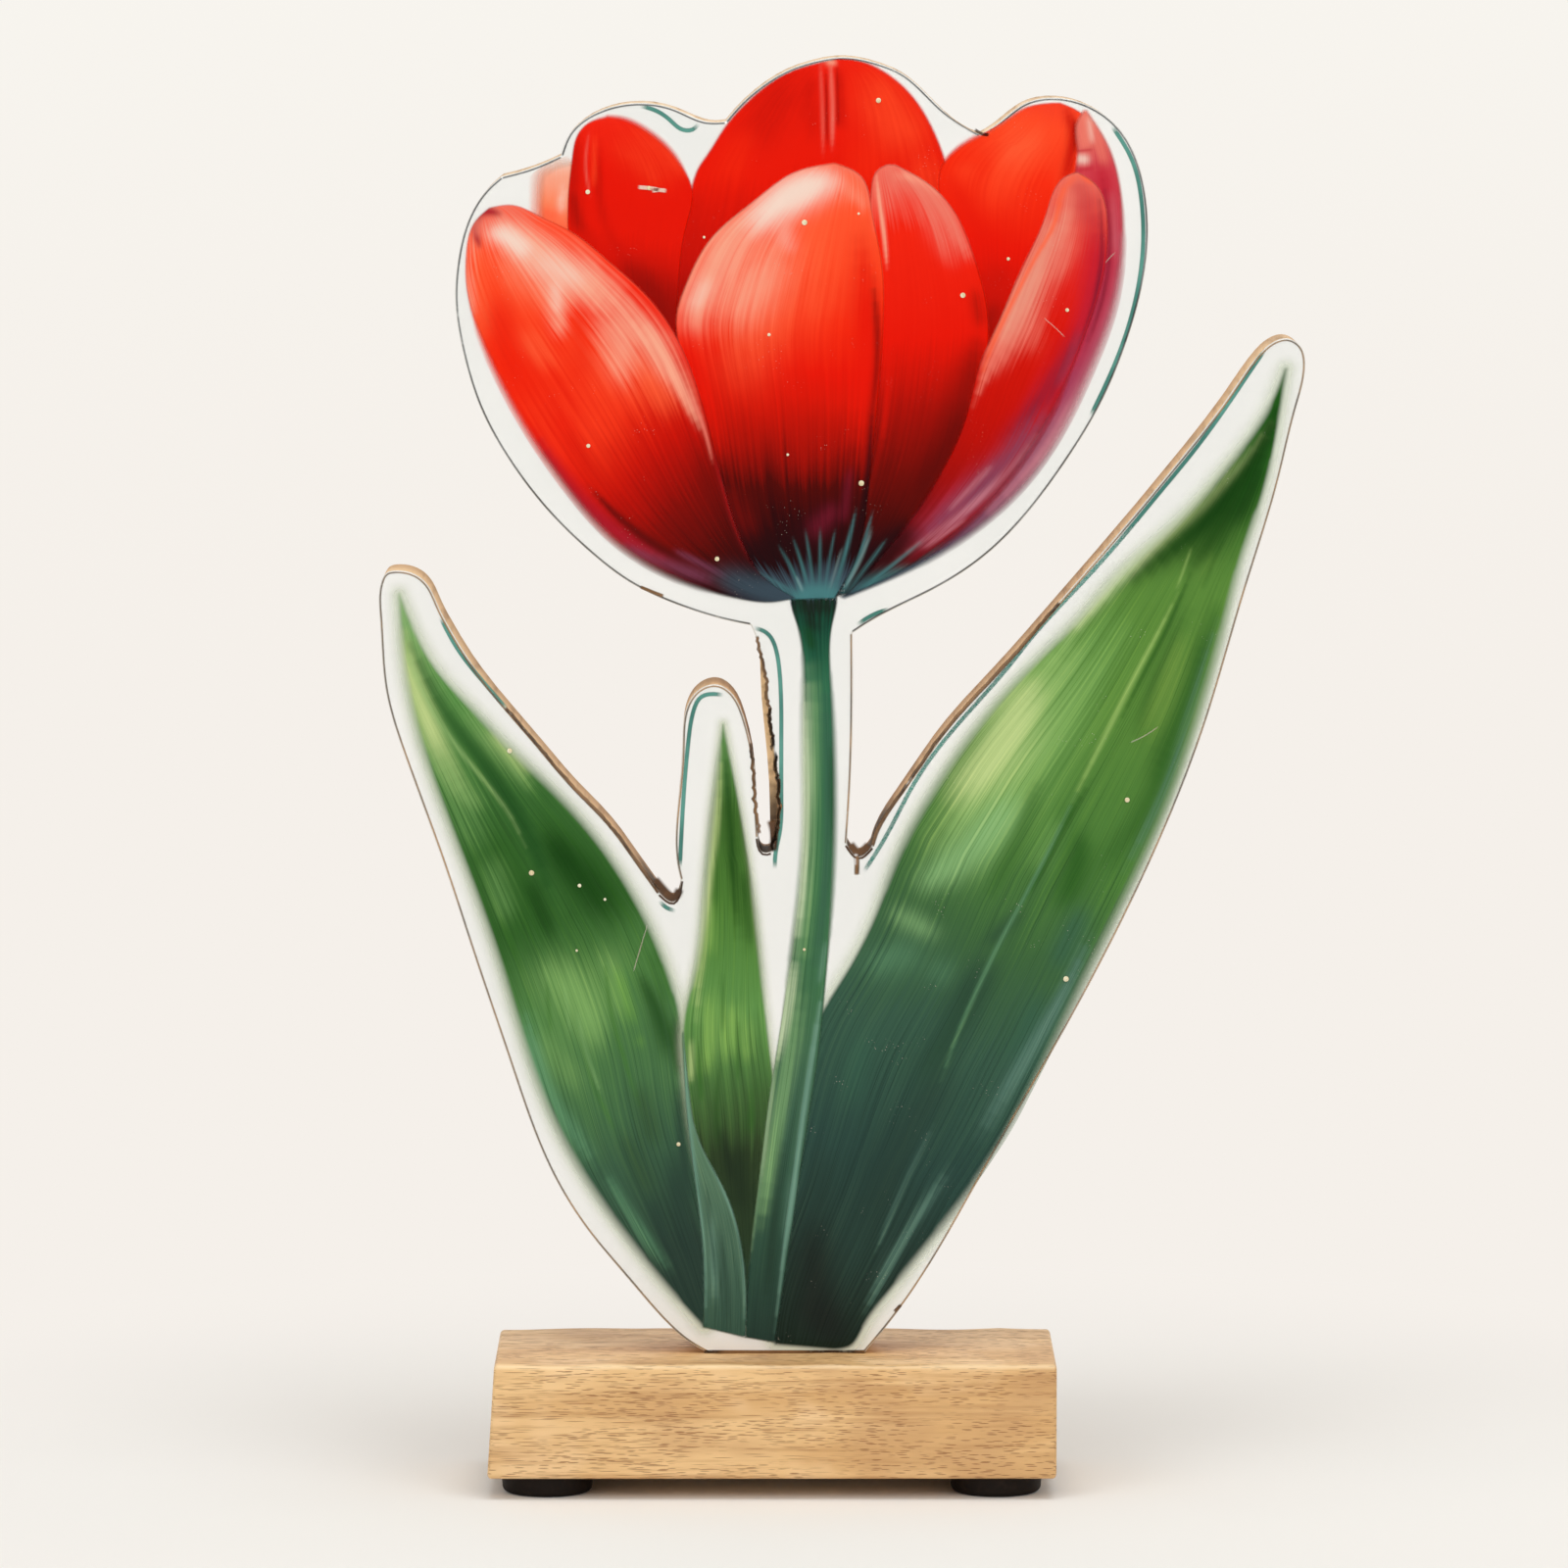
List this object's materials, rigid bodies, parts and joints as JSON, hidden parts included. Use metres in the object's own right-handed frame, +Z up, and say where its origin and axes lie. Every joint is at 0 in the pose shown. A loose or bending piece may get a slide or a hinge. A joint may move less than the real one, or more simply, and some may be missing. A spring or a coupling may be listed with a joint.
{
  "type": "tulip ornament",
  "caption": "Upright plaque sawn to the outline of an open tulip and its leaves, with a printed, clear-coated face, standing on a low hardwood block with rubber feet.",
  "frame": {"origin": "on the table, below the middle of the whole ornament", "axes": "+Z up, the long way of the plaque; +X to the viewer's right along the plaque; +Y away from the viewer, so that the printed face looks towards -Y"},
  "size_m": [0.1986, 0.05, 0.309],
  "materials": {
    "board_wood": "raw sawn edges and back of the board",
    "block_wood": "hand-sawn hardwood, lightly waxed",
    "print_white": "white ground of the print",
    "print_teal": "printed saw line",
    "petal_red": "printed red petal",
    "petal_light": "printed petal with a pale sheen",
    "petal_dark": "printed petal in the shade",
    "petal_crimson": "printed crimson petal rim",
    "petal_peach": "printed pale petal",
    "stem_green": "printed stem",
    "leaf_green": "printed leaf",
    "leaf_dark": "printed blue-green fold",
    "clear_lacquer": "clear glossy poured coat",
    "foot_rubber": "dark soft rubber",
    "foot_glue": "double-sided adhesive disc",
    "screw_steel": "zinc-plated"
  },
  "bodies": {
    "root": {"base_block": "block_wood", "clear_coat": "clear_lacquer", "foot_adhesive_1": "foot_glue", "foot_adhesive_2": "foot_glue", "foot_adhesive_3": "foot_glue", "foot_adhesive_4": "foot_glue", "foot_pad_1": "foot_rubber", "foot_pad_2": "foot_rubber", "foot_pad_3": "foot_rubber", "foot_pad_4": "foot_rubber", "print_cut_line": "print_teal", "print_ground": "print_white", "print_leaf_left": "leaf_green", "print_leaf_left_fold": "leaf_dark", "print_leaf_right": "leaf_green", "print_leaf_small": "leaf_green", "print_petal_back_centre": "petal_light", "print_petal_back_left": "petal_red", "print_petal_back_right": "petal_red", "print_petal_far_right": "petal_crimson", "print_petal_front_centre": "petal_red", "print_petal_front_left": "petal_red", "print_petal_front_right": "petal_dark", "print_petal_outer_right": "petal_light", "print_petal_sliver": "petal_peach", "print_stem": "stem_green", "tulip_board": "board_wood", "wood_screws": "screw_steel"}
  },
  "joints": []
}
